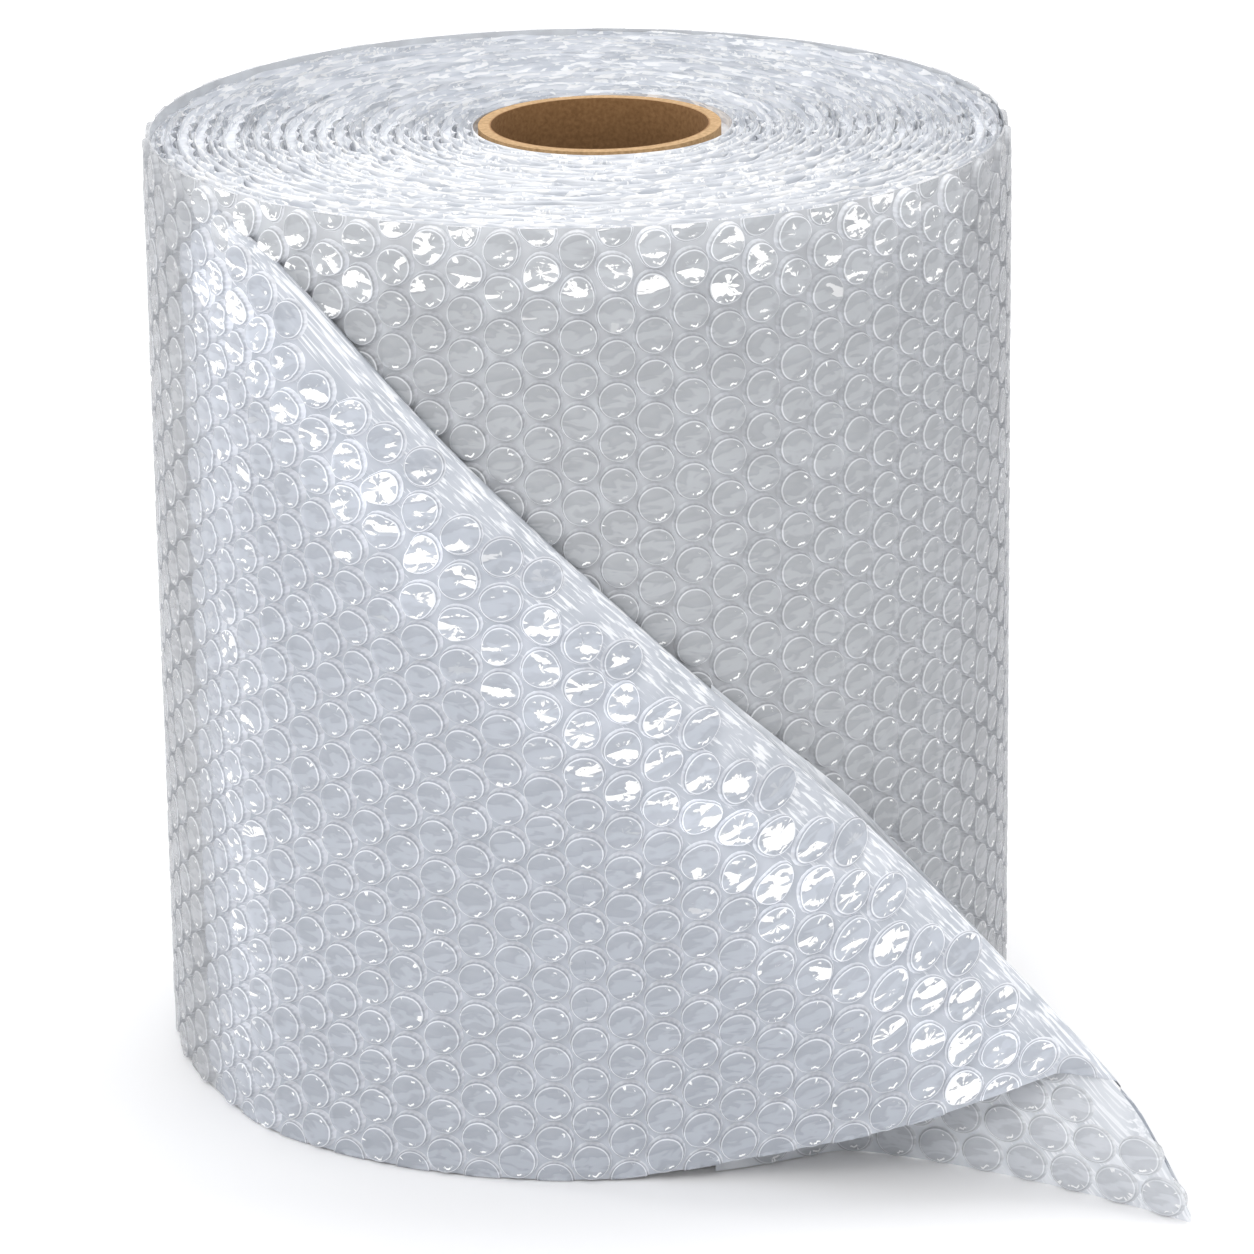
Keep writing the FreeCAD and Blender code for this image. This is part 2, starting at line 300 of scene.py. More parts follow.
def bubble_piece(name, surface, centres, material, gleam, seed, fullness=1.0, crumple=1.0, flatten=None):
    """Bubbles welded to a surface, each a little dented and creased in its own way."""
    rng = np.random.default_rng(seed)
    centres = np.asarray(centres, float)
    count = len(centres)
    shine = gleam(centres[:, 0], centres[:, 1]) * rng.uniform(*SHINE_SPREAD, count)
    full = fullness * (np.ones(count) if flatten is None else flatten(centres[:, 0], centres[:, 1]))[:, None, None]
    radius, tall = (np.array(values) for values in zip(*BUBBLE_RINGS))
    angle = 2 * math.pi * np.arange(BUBBLE_SEGMENTS) / BUBBLE_SEGMENTS
    lobes = rng.integers(2, 5, (count, 1, 1))
    pleats = rng.integers(5, 8, (count, 1, 1))
    turned = rng.uniform(0, 2 * math.pi, (count, 1, 1))
    crumpled = np.maximum(shine, 0.0)[:, None]
    rough = crumple * (1 + crumpled[..., None])
    crease_and_glint = rough * rng.uniform(*CREASE, (count, 1, 1)) * np.abs(np.sin(lobes * (angle + turned) / 2))
    pucker = rough * rng.uniform(*PUCKER, (count, 1, 1)) * np.cos(pleats * angle - turned)
    lean = rough * rng.uniform(*LEAN, (count, 1, 1)) * np.cos(angle - turned)
    dent = crumple * rng.uniform(*DENT, (count, 1, 1))
    share = (radius / BUBBLE_RADIUS)[None, :, None]
    on_top = ease((tall - WALL_HEIGHT) / 1.7)[None, :, None]
    sunk = crease_and_glint * share ** 2 + pucker * share ** 4 + lean * share + dent * (1 - share ** 2)
    height = full * (tall[None, :, None] - on_top * sunk)
    oval, tripod = rng.uniform(0, 2 * math.pi, (2, count, 1, 1))
    pull = PULL_OVAL * np.cos(2 * (angle - oval)) + PULL_TRIPOD * np.cos(3 * (angle - tripod)) - DRAWN_IN
    pull = crumpled[..., None] * pull
    ring_x = (radius[:, None] * np.cos(angle))[None]
    ring_y = (radius[:, None] * np.sin(angle))[None]
    middle = full[:, 0, 0] * (tall[-1] - dent[:, 0, 0])

    def with_middle(values, last):
        """Each bubble's ring values, followed by the value of the point in the middle of its top."""
        rings = np.broadcast_to(values, (count,) + values.shape[1:]).reshape(count, -1)
        return np.concatenate([rings, np.broadcast_to(last, (count,))[:, None]], axis=1)

    local_x = with_middle(ring_x, 0.0)
    local_y = with_middle(ring_y, 0.0)
    out = with_middle(height, middle)
    pulled_x = with_middle(ring_x * (1 + pull), 0.0)
    pulled_y = with_middle(ring_y * (1 + pull), 0.0)
    astray = crumpled * rng.uniform(-MOVED_ASIDE, MOVED_ASIDE, (2, count, 1))
    run = centres[:, :1] + pulled_x + astray[0]
    up = np.clip(centres[:, 1:2] + pulled_y + astray[1], 0.0, ROLL_WIDTH)
    points = off_surface(surface, run, up, out)
    each = local_x.shape[1]
    first = np.arange(count)[:, None, None] * each
    segment = np.arange(BUBBLE_SEGMENTS)
    following = (segment + 1) % BUBBLE_SEGMENTS
    faces = []
    for ring in range(len(radius) - 1):
        near = ring * BUBBLE_SEGMENTS
        far = near + BUBBLE_SEGMENTS
        quads = np.stack([near + segment, near + following, far + following, far + segment], axis=1)
        faces += (first + quads).reshape(-1, 4).tolist()
    last = (len(radius) - 1) * BUBBLE_SEGMENTS
    fans = np.stack([last + segment, last + following, np.full_like(segment, each - 1)], axis=1)
    faces += (first + fans).reshape(-1, 3).tolist()
    own = np.broadcast_to(rng.uniform(0, 1, (count, 1)), local_x.shape)
    bubble = np.stack([local_x / BUBBLE_RADIUS, local_y / BUBBLE_RADIUS, own], axis=-1)
    return film_piece(name, points, faces, material, bubble, np.broadcast_to(shine[:, None], local_x.shape))


def lattice(first_column, last_column, keep):
    """Bubble centres of the web's columns, staggered by half a pitch, where keep says that they are."""
    centres = []
    for column in range(first_column, last_column):
        for row in range(HALF_ROWS + 1):
            place = (column * COLUMN_RUN, row * HALF_ROW)
            if (column + row) % 2 and keep(*place):
                centres.append(place)
    return centres


def wound_end(name, top, material):
    """The turns as an end shows them: a smooth backing ribbon and a scalloped bubble ribbon side by side."""
    rng = np.random.default_rng(SEED + top)
    turns = round((VALLEY_RADIUS - CORE_RADIUS - 2) / TURN_PITCH)
    turn = np.linspace(0.0, turns, turns * END_STEPS + 1)
    angle = 2 * math.pi * turn
    radius = CORE_RADIUS + 0.4 + (VALLEY_RADIUS - CORE_RADIUS - 1.4) * turn / turns
    share = (radius - CORE_RADIUS) / (VALLEY_RADIUS - CORE_RADIUS)
    length = np.cumsum(radius) * (angle[1] - angle[0])

    def uneven(every, spread):
        """Up to spread either way, changing over that many millimetres of the ribbon."""
        knots = np.arange(0.0, length[-1] + 2 * every, every)
        return np.interp(length, knots, rng.uniform(-spread, spread, len(knots)))

    scallop = np.abs(np.sin(math.pi * (length + uneven(30.0, 3.0)) / COLUMN_RUN)) ** 0.7
    full = 0.5 + uneven(12.0, 0.5)
    face = ROLL_WIDTH if top else 0.0
    inward = -1.0 if top else 1.0
    points = []
    marks = []

    def ribbon(out, edge):
        """One layer of the web: how far out it lies from the turn's own line, and its slit edge below the end."""
        for depth, spread in ((edge, 0.0), (edge + 0.8, 0.5), (TURN_DEPTH + 0.0 * edge, 0.0)):
            reach = np.minimum(radius + out + spread, VALLEY_RADIUS - RIM_CLEAR)
            x = share * SHIFT_X - reach * np.sin(angle)
            y = share * SHIFT_Y + reach * np.cos(angle)
            points.append(np.stack([x, y, face + inward * depth], axis=-1))
            marks.append(np.stack([length, depth, turn + out], axis=-1))

    # The first turns hug the core, and the film grows uneven over the next 14 mm
    clear = ease((radius - CORE_RADIUS) / 14.0)
    wander = uneven(70.0, 0.9) * clear
    ribbon(wander, 0.3 + clear * (0.6 + uneven(14.0, 0.9)))
    ribbon(wander + 0.3 + (1.4 + 2.4 * full) * scallop, 0.5 + clear * (0.9 + uneven(8.0, 1.2)))
    points = np.stack(points)
    strip = np.array(grid_faces(3, points.shape[1]))
    faces = [quad for first in (0, 3) for quad in (strip + first * points.shape[1]).tolist()]
    return film_piece(name, points, faces, material, np.stack(marks))


def end_floor(name, top, material):
    """What shows between the turns, a little in from the end."""
    rings, around = 30, 121
    radius = np.linspace(CORE_RADIUS, VALLEY_RADIUS, rings)[:, None]
    angle = np.linspace(0, 2 * math.pi, around)[None, :]
    share = (radius - CORE_RADIUS) / (VALLEY_RADIUS - CORE_RADIUS)
    x = share * SHIFT_X + radius * np.sin(angle)
    y = share * SHIFT_Y - radius * np.cos(angle)
    depth = TURN_DEPTH - FLOOR_RISE
    z = (ROLL_WIDTH - depth if top else depth) + 0.0 * x
    return film_piece(name, np.stack([x, y, z], axis=-1), grid_faces(rings, around), material)


# Materials

def add_node(tree, kind, inputs=(), **settings):
    """Adds a node. Each input is a value, another node's output, or a node whose first output it takes."""
    made = tree.nodes.new(kind)
    for name, value in settings.items():
        setattr(made, name, value)
    for name, value in dict(inputs).items():
        if isinstance(value, bpy.types.Node):
            value = value.outputs[0]
        if isinstance(value, bpy.types.NodeSocket):
            tree.links.new(value, made.inputs[name])
        else:
            made.inputs[name].default_value = value
    return made


def new_material(name):
    material = bpy.data.materials.new(name)
    material.use_nodes = True
    tree = material.node_tree
    return material, tree, tree.nodes["Principled BSDF"]


def grey(value):
    return (value, value, value, 1.0)


def fill_ramp(ramp, stops):
    elements = ramp.color_ramp.elements
    while len(elements) > 1:
        elements.remove(elements[-1])
    elements[0].position, elements[0].color = stops[0]
    for place, colour in stops[1:]:
        elements.new(place).color = colour
    return ramp


FILM_IOR = 1.5
WHITE = (1.0, 1.0, 1.0, 1.0)


def film_gloss(shader, rough):
    shader.inputs["Roughness"].default_value = rough
    shader.inputs["IOR"].default_value = FILM_IOR


# A bubble's own place is in shares of its radius, and its rings are in the same shares
TOP_TO, RING_FROM, RING_TO, GAP_FROM, GAP_TO, WELD_FROM = 0.86, 0.885, 0.915, 0.935, 0.955, 0.975
# Soft bands of painted reflection, about 10 mm long and 4.5 mm wide, which rise a little to the right, and another
# set on each bubble
BAND_SCALE = (BUBBLE_RADIUS / 10.0, BUBBLE_RADIUS / 4.5, 67.0)
BAND_SLOPE = (-0.1, 0.4, 0.0)
OWN_SCALE = 61.0
# Painted flecks of light just inside the ring, a big one at the foot and a small one at the upper right: the corner
# of the square that the middle strays in, how far it strays, and the radius
FLECKS = (((0.05, -0.82, 0.0), 0.3, 0.24), ((0.2, 0.45, 0.0), 0.45, 0.12))


# Blown polyethylene over trapped air. The eye gets a thin bright ring of painted highlight where the dome's wall
# turns into its top, a fainter painted one at the weld, a slightly greyer top in soft bands of painted reflection,
# a painted fleck or two of light inside the ring, and painted white shards where a crumpled top throws light back.
# Gleam is 0 on a plain bubble, up to 1 on a crumpled one that shines, and below 0 where it is dull.
def bubble_film(name, disc, ring, gap, creased):
    material, tree, shader = new_material(name)
    place = add_node(tree, "ShaderNodeAttribute", attribute_name="bubble").outputs["Vector"]
    gleam = add_node(tree, "ShaderNodeAttribute", attribute_name="gleam").outputs["Fac"]
    flat = add_node(tree, "ShaderNodeVectorMath", {0: place, 1: (1.0, 1.0, 0.0)}, operation="MULTIPLY")
    reach = add_node(tree, "ShaderNodeVectorMath", {0: flat}, operation="LENGTH").outputs["Value"]
    heading = add_node(tree, "ShaderNodeVectorMath", {0: flat}, operation="NORMALIZE")
    # Painted highlight: the ring colour at the top's edge and at the weld, where it also covers the shade beside the
    # dome
    hue = fill_ramp(add_node(tree, "ShaderNodeValToRGB", {0: reach}), [
        (0.0, linear(disc)), (TOP_TO, linear(disc)), (RING_FROM, linear(ring)), (RING_TO, linear(ring)),
        (GAP_FROM, linear(gap)), (GAP_TO, linear(gap)), (WELD_FROM, linear(ring)), (1.0, linear(ring))])
    body = fill_ramp(add_node(tree, "ShaderNodeValToRGB", {0: reach}), [
        (0.0, grey(0.55)), (0.84, grey(0.55)), (RING_FROM, grey(0.8)), (RING_TO, grey(0.8)), (0.94, grey(0.5)),
        (1.0, grey(0.8))])
    dull = add_node(tree, "ShaderNodeMapRange", {0: gleam, 1: 0.0, 2: -1.0})
    hue = add_node(tree, "ShaderNodeMix", {0: dull, 6: hue, 7: linear(gap)}, data_type="RGBA").outputs[2]

    # Soft bands of painted reflection, and painted highlight that makes it brighter all over where it shines
    banded = add_node(tree, "ShaderNodeVectorMath", {0: place, 1: BAND_SCALE}, operation="MULTIPLY")
    blotch = add_node(tree, "ShaderNodeTexNoise", {"Vector": banded, "Scale": 1.0, "Detail": 2.0, "Distortion": 0.6})
    slant = add_node(tree, "ShaderNodeVectorMath", {0: flat, 1: BAND_SLOPE}, operation="DOT_PRODUCT").outputs["Value"]
    slant = add_node(tree, "ShaderNodeMath", {0: blotch, 1: 1.1, 2: slant}, operation="MULTIPLY_ADD")
    shade = fill_ramp(add_node(tree, "ShaderNodeValToRGB", {0: slant}), [
        (0.0, grey(0.9)), (0.3, grey(0.8)), (0.42, grey(1.0)), (0.56, grey(0.97)), (0.64, grey(0.77)),
        (0.85, grey(0.85)), (1.0, grey(0.93))])
    shine = add_node(tree, "ShaderNodeMath", {0: gleam, 1: 0.0}, operation="MAXIMUM")
    shade = add_node(tree, "ShaderNodeMath", {0: shine, 1: 0.35, 2: shade}, operation="MULTIPLY_ADD")
    colour = add_node(tree, "ShaderNodeVectorMath", {0: hue, 1: shade}, operation="MULTIPLY")
    colour = add_node(tree, "ShaderNodeVectorMath", {0: colour, "Scale": 1.12}, operation="SCALE")

    # Painted highlights: wedges of light that run in from the ring, more of them where it is dull
    own = add_node(tree, "ShaderNodeVectorMath", {0: place, 1: (0.0, 0.0, OWN_SCALE)}, operation="MULTIPLY")
    ray = add_node(tree, "ShaderNodeVectorMath", {0: heading, 1: (2.3, 2.3, 0.0), 2: own}, operation="MULTIPLY_ADD")
    star = add_node(tree, "ShaderNodeTexNoise", {"Vector": ray, "Scale": 1.0, "Detail": 2.0})
    crease_and_glint = add_node(tree, "ShaderNodeMath", {0: reach, 1: 0.16, 2: star}, operation="MULTIPLY_ADD")
    crease_and_glint = add_node(tree, "ShaderNodeMath", {0: dull, 1: 0.14, 2: crease_and_glint}, operation="MULTIPLY_ADD")
    # creased is the threshold above which the painted wedges of light show
    crease_and_glint = add_node(tree, "ShaderNodeMapRange", {0: crease_and_glint, 1: creased, 2: creased + 0.03})
    outer = add_node(tree, "ShaderNodeMapRange", {0: reach, 1: 0.6, 2: 0.7})
    crease_and_glint = add_node(tree, "ShaderNodeMath", {0: crease_and_glint, 1: outer}, operation="MULTIPLY")

    # Painted highlights: flecks of light just inside the ring
    ragged = add_node(tree, "ShaderNodeMath", {0: star, 1: 0.45, 2: reach}, operation="MULTIPLY_ADD")
    rim = fill_ramp(add_node(tree, "ShaderNodeValToRGB", {0: ragged}), [
        (0.88, grey(0.0)), (0.9, grey(1.0)), (0.985, grey(1.0)), (1.0, grey(0.0))])
    astray = add_node(tree, "ShaderNodeTexWhiteNoise", {"Vector": own}).outputs["Color"]
    for corner, spread, size in FLECKS:
        spot = add_node(tree, "ShaderNodeVectorMath", {0: astray, 1: (spread, spread, 0.0), 2: corner},
                        operation="MULTIPLY_ADD")
        near = add_node(tree, "ShaderNodeVectorMath", {0: flat, 1: spot}, operation="DISTANCE").outputs["Value"]
        near = add_node(tree, "ShaderNodeMath", {0: blotch, 1: 0.3, 2: near}, operation="MULTIPLY_ADD")
        near = add_node(tree, "ShaderNodeMapRange", {0: near, 1: size + 0.15, 2: size + 0.1})
        fleck = add_node(tree, "ShaderNodeMath", {0: near, 1: rim}, operation="MULTIPLY")
        crease_and_glint = add_node(tree, "ShaderNodeMath", {0: fleck, 1: crease_and_glint}, operation="MAXIMUM")
    clear = add_node(tree, "ShaderNodeMapRange", {0: dull, 3: 1.0, 4: 0.65})
    crease_and_glint = add_node(tree, "ShaderNodeMath", {0: crease_and_glint, 1: clear}, operation="MULTIPLY")

    # Painted highlights: white shards where a crumpled top throws light back
    shard_glint = add_node(tree, "ShaderNodeMath", {0: blotch, 1: 1.15}, operation="MULTIPLY")
    shard_glint = add_node(tree, "ShaderNodeMath", {0: star, 1: -0.35, 2: shard_glint}, operation="MULTIPLY_ADD")
    shard_glint = add_node(tree, "ShaderNodeMath", {0: reach, 1: -0.1, 2: shard_glint}, operation="MULTIPLY_ADD")
    shard_glint = add_node(tree, "ShaderNodeMath", {0: gleam, 1: 0.2, 2: shard_glint}, operation="MULTIPLY_ADD")
    shard_glint = add_node(tree, "ShaderNodeMapRange", {0: shard_glint, 1: 0.5, 2: 0.54})
    shining = add_node(tree, "ShaderNodeMapRange", {0: gleam, 1: 0.05, 2: 0.15})
    shard_glint = add_node(tree, "ShaderNodeMath", {0: shard_glint, 1: shining}, operation="MULTIPLY")

    white = add_node(tree, "ShaderNodeMath", {0: crease_and_glint, 1: shard_glint}, operation="MAXIMUM")
    on_top = add_node(tree, "ShaderNodeMapRange", {0: reach, 1: 0.9, 2: 0.86})
    white = add_node(tree, "ShaderNodeMath", {0: white, 1: on_top}, operation="MULTIPLY")
    colour = add_node(tree, "ShaderNodeMix", {0: white, 6: colour, 7: linear("#ffffff")}, data_type="RGBA").outputs[2]
    cover = add_node(tree, "ShaderNodeMath", {0: body, 1: white}, operation="MAXIMUM")
    tree.links.new(colour, shader.inputs["Base Color"])
    tree.links.new(cover.outputs[0], shader.inputs["Alpha"])
    film_gloss(shader, 0.24)
    return material


# Blown polyethylene sheet of the free end, pulled tight over the fold. The eye gets a milky glossy sheet with
# fine bright streaks of painted highlight, 8 mm long and 1 mm wide, that run along the ridge and die out below it.
def crest_film(name, pale, dark, rough):
    material, tree, shader = new_material(name)
    place = add_node(tree, "ShaderNodeAttribute", attribute_name="crest").outputs["Vector"]
    blotch = add_node(tree, "ShaderNodeTexNoise", {"Vector": place, "Scale": 1 / 9.0, "Detail": 2.0})
    tone = fill_ramp(add_node(tree, "ShaderNodeValToRGB", {0: blotch}), [(0.35, linear(dark)), (0.65, linear(pale))])
    # Painted highlights: the bright streaks along the ridge
    drawn = add_node(tree, "ShaderNodeVectorMath", {0: place, 1: (1 / 7.7, 1.0, 1.0)}, operation="MULTIPLY")
    streak_glint = add_node(tree, "ShaderNodeTexNoise", {"Vector": drawn, "Scale": 1.0, "Detail": 3.0, "Distortion": 0.4})
    below = add_node(tree, "ShaderNodeSeparateXYZ", {0: place}).outputs[1]
    ridge = add_node(tree, "ShaderNodeMapRange", {0: below, 1: 34.0, 2: 2.0})
    streak_glint = add_node(tree, "ShaderNodeMath", {0: ridge, 1: 0.17, 2: streak_glint}, operation="MULTIPLY_ADD")
    streak_glint = add_node(tree, "ShaderNodeMapRange", {0: streak_glint, 1: 0.66, 2: 0.76})
    colour = add_node(tree, "ShaderNodeMix", {0: streak_glint, 6: tone, 7: linear("#f0f2f6")}, data_type="RGBA").outputs[2]
    tree.links.new(colour, shader.inputs["Base Color"])
    film_gloss(shader, rough)
    return material


# Slit edges of the wound film. The eye gets grey folds with short white slivers, painted highlights for where they
# face the light. Its marks are millimetres along the ribbon and down its edge, and turns: folds change over 12.5 mm,
# slivers 6.7.
def cut_film(name, dark, pale):
    material, tree, shader = new_material(name)
    place = add_node(tree, "ShaderNodeAttribute", attribute_name="bubble").outputs["Vector"]
    long = add_node(tree, "ShaderNodeVectorMath", {0: place, 1: (1 / 12.5, 1 / 3.75, 0.8)}, operation="MULTIPLY")
    blotch = add_node(tree, "ShaderNodeTexNoise", {"Vector": long, "Scale": 1.0, "Detail": 2.0})
    tone = fill_ramp(add_node(tree, "ShaderNodeValToRGB", {0: blotch}), [(0.34, linear(dark)), (0.6, linear(pale))])
    # Painted highlights: the short white slivers
    short = add_node(tree, "ShaderNodeVectorMath", {0: place, 1: (1 / 6.7, 1 / 2.0, 1.5)}, operation="MULTIPLY")
    sliver_glint = add_node(tree, "ShaderNodeTexNoise", {"Vector": short, "Scale": 1.0, "Detail": 1.5, "Distortion": 0.6})
    sliver_glint = add_node(tree, "ShaderNodeMapRange", {0: sliver_glint, 1: 0.54, 2: 0.57})
    colour = add_node(tree, "ShaderNodeMix", {0: sliver_glint, 6: tone, 7: linear("#ffffff")}, data_type="RGBA").outputs[2]
    tree.links.new(colour, shader.inputs["Base Color"])
    film_gloss(shader, 0.2)
    return material


# Blown polyethylene sheet over the turns below it. The eye gets a milky gloss with their bubbles as soft
# blotches, of the size in millimetres that is given.
def sheet_film(name, pale, dark, rough, blotch_size):
    material, tree, shader = new_material(name)
    place = add_node(tree, "ShaderNodeTexCoord").outputs["Object"]
    blotch = add_node(tree, "ShaderNodeTexNoise", {"Vector": place, "Scale": 1 / (blotch_size * MM), "Detail": 2.0})
    tone = fill_ramp(add_node(tree, "ShaderNodeValToRGB", {0: blotch}), [(0.35, linear(dark)), (0.65, linear(pale))])
    tree.links.new(tone.outputs[0], shader.inputs["Base Color"])
    film_gloss(shader, rough)
    return material


# Spiral-wound grey-brown card. The eye gets a dull fibrous wall, with painted light and shade that make it light on its
# cut rim and darker down the bore.
# The fibre is drawn 1.4 mm coarse, because the real 0.2 mm is too fine to show.
def wound_card(name, pale, brown, rough):
    material, tree, shader = new_material(name)
    place = add_node(tree, "ShaderNodeTexCoord").outputs["Object"]
    fibre = add_node(tree, "ShaderNodeTexNoise", {"Vector": place, "Scale": 1 / (1.4 * MM), "Detail": 3.0})
    tone = fill_ramp(add_node(tree, "ShaderNodeValToRGB", {0: fibre}), [(0.3, linear(brown)), (0.7, linear(pale))])
    flat = add_node(tree, "ShaderNodeVectorMath", {0: place, 1: (1.0, 1.0, 0.0)}, operation="MULTIPLY")
    reach = add_node(tree, "ShaderNodeVectorMath", {0: flat}, operation="LENGTH").outputs["Value"]
    bore = CORE_BORE_RADIUS * MM
    top = ROLL_WIDTH * MM
    inside = add_node(tree, "ShaderNodeMapRange", {0: reach, 1: bore + 0.8 * MM, 2: bore + 0.2 * MM})
    tint = add_node(tree, "ShaderNodeMix", {0: inside, 6: grey(1.0), 7: linear("#cebca6")}, data_type="RGBA").outputs[2]
    height = add_node(tree, "ShaderNodeSeparateXYZ", {0: place}).outputs[2]
    # Painted shade: a little lighter at the end's face and darker down the bore, to 0.36 of the colour 45 mm down
    bore_shade = add_node(tree, "ShaderNodeMapRange", {0: height, 1: top, 2: top - 45 * MM, 3: 1.1, 4: 0.36})
    tint = add_node(tree, "ShaderNodeVectorMath", {0: tint, 1: bore_shade}, operation="MULTIPLY")
    colour = add_node(tree, "ShaderNodeVectorMath", {0: tone, 1: tint}, operation="MULTIPLY")
    tree.links.new(colour.outputs[0], shader.inputs["Base Color"])
    shader.inputs["Roughness"].default_value = rough
    return material


# Camera and light

CAMERA_DISTANCE = 2.2
CAMERA_RISE = math.radians(17.68)
CAMERA_ROLL = math.radians(0.80)
CAMERA_AIM = Vector((0.0071, -0.0051, 0.1514))
camera = bpy.data.objects.new("camera", bpy.data.cameras.new("camera"))
bpy.context.scene.collection.objects.link(camera)
bpy.context.scene.camera = camera
camera.location = (0.0, -CAMERA_DISTANCE * math.cos(CAMERA_RISE),
                   ROLL_WIDTH * MM / 2 + CAMERA_DISTANCE * math.sin(CAMERA_RISE))
aim = CAMERA_AIM - camera.location
camera.rotation_mode = "QUATERNION"
camera.rotation_quaternion = aim.to_track_quat("-Z", "Y") @ Quaternion((0, 0, 1), -CAMERA_ROLL)
camera.data.lens = 176.6
camera.data.sensor_width = 36.0
camera.data.clip_end = 20.0


def lamp(name, place, target, width, height, watts):
    data = bpy.data.lights.new(name, "AREA")
    data.shape = "RECTANGLE"
    data.size, data.size_y, data.energy = width, height, watts
    made = bpy.data.objects.new(name, data)
    bpy.context.scene.collection.objects.link(made)
    made.location = place
    made.rotation_mode = "QUATERNION"
    made.rotation_quaternion = (Vector(target) - Vector(place)).to_track_quat("-Z", "Y")


lamp("key_softbox", (-0.7, -1.9, 1.7), (0, 0, 0.15), 1.5, 1.1, 17)
lamp("left_strip", (-1.5, 0.35, 0.7), (0, 0, 0.17), 0.25, 1.2, 5)
lamp("right_fill", (1.7, -0.9, 1.2), (0, 0, 0.15), 0.8, 0.8, 3)
lamp("top_softbox", (0.2, 0.5, 2.0), (0, 0, 0.2), 1.2, 1.0, 17)


def background_is_seen(tree):
    """1 on the rays by which the white background is seen, and 0 on those that light the object."""
    path = add_node(tree, "ShaderNodeLightPath")
    seen = add_node(tree, "ShaderNodeMath", {0: path.outputs["Is Camera Ray"], 1: path.outputs["Is Glossy Ray"]},
                    operation="MAXIMUM")
    return add_node(tree, "ShaderNodeMath", {0: seen, 1: path.outputs["Is Transmission Ray"]}, operation="MAXIMUM")


world = bpy.data.worlds.new("studio")
bpy.context.scene.world = world
world.use_nodes = True
tree = world.node_tree
tree.nodes.clear()
seen = background_is_seen(tree)
room = add_node(tree, "ShaderNodeBackground", {"Color": WHITE, "Strength": 0.78})
white_room = add_node(tree, "ShaderNodeBackground", {"Color": WHITE, "Strength": 1.0})
either = add_node(tree, "ShaderNodeMixShader", {0: seen, 1: room, 2: white_room})
add_node(tree, "ShaderNodeOutputWorld", {0: either})
bpy.context.scene.view_settings.view_transform = "Standard"

# The floor lies a hair below the roll's end. Away from the roll, where the lamps no longer reach it, it shows
# as white by its own light, which falls on nothing and is only seen.
floor_mesh = bpy.data.meshes.new("floor")
floor_mesh.from_pydata([(-8, -8, 0), (8, -8, 0), (8, 8, 0), (-8, 8, 0)], [], [(0, 1, 2, 3)])
floor = bpy.data.objects.new("floor", floor_mesh)
bpy.context.scene.collection.objects.link(floor)
floor.location.z = -0.0005
floor_material, tree, shader = new_material("white_studio_floor")
shader.inputs["Base Color"].default_value = linear("#f4f4f5")
shader.inputs["Roughness"].default_value = 0.9
shader.inputs["Specular IOR Level"].default_value = 0.1
place = add_node(tree, "ShaderNodeTexCoord").outputs["Object"]
away = add_node(tree, "ShaderNodeVectorMath", {0: place}, operation="LENGTH").outputs["Value"]
away = add_node(tree, "ShaderNodeMapRange", {0: away, 1: 0.5, 2: 2.5, 3: 0.06, 4: 0.35})
lift = add_node(tree, "ShaderNodeMath", {0: background_is_seen(tree), 1: away}, operation="MULTIPLY")
shader.inputs["Emission Color"].default_value = WHITE
tree.links.new(lift.outputs[0], shader.inputs["Emission Strength"])
floor_mesh.materials.append(floor_material)


# The film

roll_sheet_material = sheet_film("polyethylene_sheet_over_turns", "#cccfd3", "#bfc1c5", 0.25, 11.0)
roll_bubble_material = bubble_film("polyethylene_bubbles_on_roll", "#bec1c5", "#e4e6ea", "#c1c3c7", 0.86)
flap_sheet_material = crest_film("polyethylene_sheet_free_end", "#c9cdd5", "#bbc0c8", 0.22)
flap_bubble_material = bubble_film("polyethylene_bubbles_free_end", "#c2c7d0", "#f1f3f8", "#c3c7cf", 0.82)
# The folded-under layer gets lighter copies of the front's film, painted light for what reaches it through the film
rear_sheet_material = crest_film("polyethylene_sheet_folded_under", "#e2e5ea", "#cfd3d9", 0.22)
rear_bubble_material = bubble_film("polyethylene_bubbles_folded_under", "#d6d9df", "#f1f3f6", "#dadde2", 0.82)
end_material = cut_film("slit_polyethylene_edges", "#ced2d9", "#ebedf1")
hollow_material = sheet_film("turns_below_the_edge", "#e6e8ec", "#d5d8dd", 0.5, 3.3)

whole_round = 2 * math.pi * ROLL_RADIUS
sheet_piece("roll_sheet", roll_surface, np.linspace(-whole_round / 2, whole_round / 2, 301),
            lambda run: 0.0 * run, lambda run: ROLL_WIDTH + 0.0 * run, roll_sheet_material)
flap_runs = np.linspace(FLAP_STARTS, TIP_RUN, 130)


def flap_top(run):
    """Height on the web at which the curl over the ridge ends."""
    past, tilt, radius = past_curl_start(run, 0.0 * run)
    return (math.pi * radius - past) / np.cos(tilt)


def crest_place(run, height):
    """Millimetres along the fold's ridge and below it."""
    tilt = fold_angle(run)
    lifted = height + edge_lift(run)
    along = run * np.cos(tilt) - lifted * np.sin(tilt)
    return np.stack([along, below_fold(run, lifted), 0.0 * along], axis=-1)


sheet_piece("free_end_front", folded_surface, flap_runs, lambda run: 0.0 * run, flap_top, flap_sheet_material,
            crest=crest_place)
rear_runs = np.linspace(REAR_LEAVES_ROLL / 2, TIP_RUN, 70)
sheet_piece("free_end_rear", rear_surface, rear_runs, lambda run: 0.0 * run,
            lambda run: np.maximum(fold_height(run) - 0.5, 2.0), rear_sheet_material, crest=crest_place)


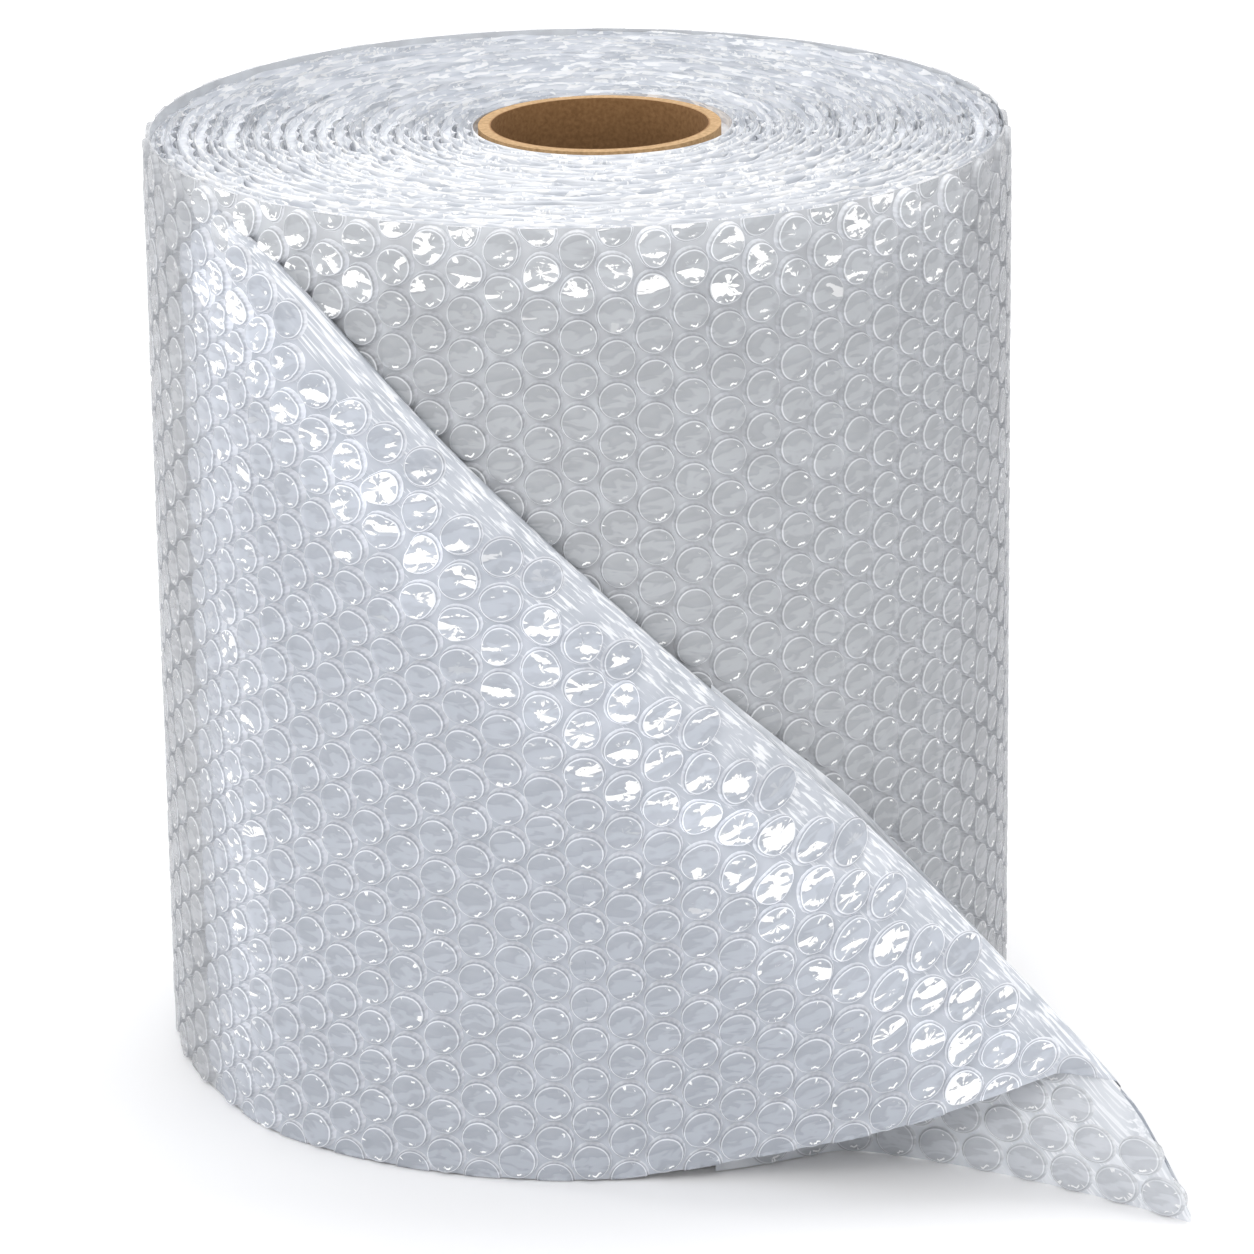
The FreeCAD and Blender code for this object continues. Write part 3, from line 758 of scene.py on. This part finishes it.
def on_open_roll(run, height):
    """Whether a bubble of the roll's side isn't hidden under the free end."""
    under = FLAP_STARTS + 6 < run < ROLL_HIDDEN_BEFORE
    across = ROLL_RADIUS * math.sin(run / ROLL_RADIUS) if run > 0 else run
    return not (under and height < fold_height(across) - ROLL_HIDDEN_BELOW)


def on_flap(run, height):
    past, tilt, radius = past_curl_start(np.array(run), np.array(height))
    below = below_fold(run, height + edge_lift(run))
    return past < math.pi * radius and below > CREST_PLAIN and fold_height(run) - edge_lift(run) > 3


def hump(x, middle, width):
    return np.exp(-((x - middle) / width) ** 2)


def beside(run):
    """How far round to a side a bubble is, where the film is dull and its bubbles blur into each other."""
    return ease((np.abs(run) - HAZE_FROM) / HAZE_RUN) * ease((2 * HAZE_MIDDLE - HAZE_FROM - np.abs(run)) / HAZE_RUN)


def roll_gleam(run, height):
    """Bubbles just under the top edge stand where the light catches them, and get painted highlights there."""
    return np.where(beside(run) > 0.1, -beside(run), TOP_GLEAM * ease((height - TOP_GLEAM_FROM) / TOP_GLEAM_RISE))


def flap_gleam(run, height):
    """Crumpled bubbles with painted highlights along the soft roll below the fold, and down the left where the web
    turns away.
    """
    below = below_fold(run, height + edge_lift(run))
    on_left = LEFT_GLEAM * hump(run, LEFT_GLEAM_RUN, LEFT_GLEAM_WIDTH)
    shining = np.maximum(hump(below, GLEAM_BELOW, GLEAM_WIDTH), on_left)
    return np.where(beside(run) > 0.3, -beside(run), shining)


def rear_gleam(run, height):
    """The folded-under layer lies in its own shade."""
    return np.full_like(run, REAR_DULL)


def flat_at_edges(run, height):
    """Bubbles cut open by the web's edges have lost their air, and those at the sides are pressed flatter."""
    return (0.3 + 0.7 * ease(np.minimum(height, ROLL_WIDTH - height) / 9.0)) * (1 - 0.15 * beside(run))


def flat_on_crest(run, height):
    """Bubbles stretched over the fold's ridge lose their air to its sides."""
    return flat_at_edges(run, height) * (0.25 + 0.75 * ease((below_fold(run, height + edge_lift(run)) - 2) / 14))


quarter = COLUMN_COUNT // 4
for index, first in enumerate(range(-COLUMN_COUNT // 2, COLUMN_COUNT // 2, quarter)):
    bubble_piece(f"roll_bubbles_{index + 1}", roll_surface, lattice(first, first + quarter, on_open_roll),
                 roll_bubble_material, gleam=roll_gleam, seed=SEED + index, crumple=0.6, flatten=flat_at_edges)
bubble_piece("free_end_bubbles", folded_surface, lattice(-13, 16, on_flap), flap_bubble_material,
             gleam=flap_gleam, seed=SEED + 10, flatten=flat_on_crest)
# The folded-under layer's lattice is turned by the fold: its columns lie level. Its bubbles show from inside too
turned_lattice = [(FOLD_HEIGHT_AT_FRONT - row * HALF_ROW, FOLD_HEIGHT_AT_FRONT - column * COLUMN_RUN)
                  for column in range(0, 18) for row in range(0, 24) if (column + row) % 2]
rear_centres = [(run, height) for run, height in turned_lattice
                if REAR_LEAVES_ROLL / 2 < run < TIP_RUN - 4
                and 4 < height < fold_height(run) - curl_radius(run) - REAR_CLEAR]
bubble_piece("free_end_rear_inside", rear_surface, rear_centres, rear_bubble_material,
             gleam=rear_gleam, seed=SEED + 11, fullness=0.35)
bubble_piece("free_end_rear_bubbles", rear_surface, rear_centres, rear_bubble_material,
             gleam=rear_gleam, seed=SEED + 12, fullness=-1.0)

for name, top in (("top", 1), ("bottom", 0)):
    wound_end(f"{name}_end_turns", top, end_material)
    end_floor(f"{name}_end_depth", top, hollow_material)

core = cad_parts["core_tube"]
core.data.materials.clear()
core.data.materials.append(wound_card("spiral_wound_card", "#bd9c74", "#9f7f57", 0.85))
